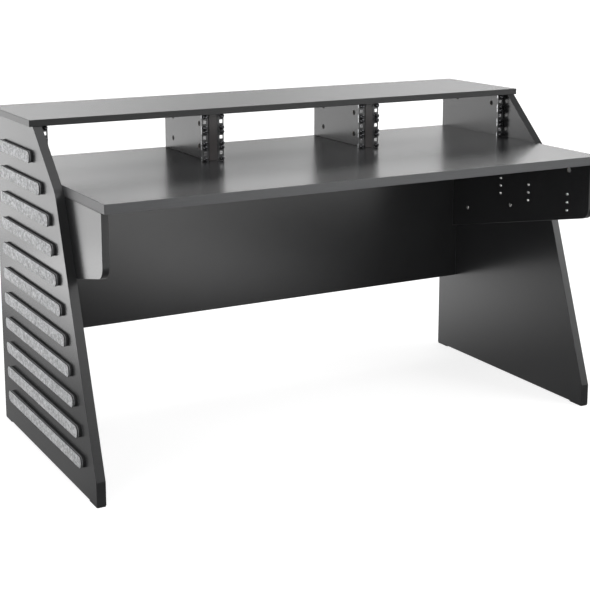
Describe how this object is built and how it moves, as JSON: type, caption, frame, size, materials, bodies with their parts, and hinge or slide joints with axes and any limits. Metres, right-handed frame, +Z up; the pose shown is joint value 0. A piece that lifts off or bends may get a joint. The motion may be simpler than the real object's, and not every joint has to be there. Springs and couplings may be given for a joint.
{
  "type": "studio desk",
  "caption": "Free-standing studio desk with a deep worktop between slanted side panels, an upper shelf over open rack bays with perforated rails, a modesty panel and felt side strips.",
  "frame": {"origin": "on the floor, in the middle of the desk's outer box", "axes": "+Z up, -Y towards the seated user, +X to the user's right"},
  "size_m": [1.595, 0.8066, 0.925],
  "materials": {
    "laminate": "anthracite satin laminate on board",
    "felt": "light grey mottled pressed felt on a black backing",
    "rail": "black powder coat",
    "glide": "black moulded",
    "zinc": "bright zinc casting",
    "nickel": "nickel plated"
  },
  "bodies": {
    "root": {"side_panel_left": "laminate", "side_panel_right": "laminate", "worktop": "laminate", "upper_shelf": "laminate", "modesty_panel": "laminate", "divider_left": "laminate", "divider_right": "laminate", "skirt_left": "laminate", "skirt_right": "laminate", "skirt_bolt_left_front": "nickel", "skirt_bolt_left_rear": "nickel", "skirt_bolt_right_front": "nickel", "skirt_bolt_right_rear": "nickel", "cam_side_left_top_front": "zinc", "cam_side_left_top_rear": "zinc", "cam_side_right_top_front": "zinc", "cam_side_right_top_rear": "zinc", "cam_divider_left_top_front": "zinc", "cam_divider_left_top_rear": "zinc", "cam_divider_left_bottom_front": "zinc", "cam_divider_left_bottom_rear": "zinc", "cam_divider_right_top_front": "zinc", "cam_divider_right_top_rear": "zinc", "cam_divider_right_bottom_front": "zinc", "cam_divider_right_bottom_rear": "zinc", "cam_skirt_left": "zinc", "cam_skirt_right": "zinc", "rack_rail_bay_left_left": "rail", "rack_rail_bay_left_right": "rail", "rack_rail_bay_centre_left": "rail", "rack_rail_bay_centre_right": "rail", "rack_rail_bay_right_left": "rail", "rack_rail_bay_right_right": "rail", "side_strip_left_01": "felt", "side_strip_left_02": "felt", "side_strip_left_03": "felt", "side_strip_left_04": "felt", "side_strip_left_05": "felt", "side_strip_left_06": "felt", "side_strip_left_07": "felt", "side_strip_left_08": "felt", "side_strip_left_09": "felt", "side_strip_left_10": "felt", "side_strip_left_11": "felt", "side_strip_right_01": "felt", "side_strip_right_02": "felt", "side_strip_right_03": "felt", "side_strip_right_04": "felt", "side_strip_right_05": "felt", "side_strip_right_06": "felt", "side_strip_right_07": "felt", "side_strip_right_08": "felt", "side_strip_right_09": "felt", "side_strip_right_10": "felt", "side_strip_right_11": "felt", "glide_left_front": "glide", "glide_left_rear": "glide", "glide_right_front": "glide", "glide_right_rear": "glide"}
  },
  "joints": []
}
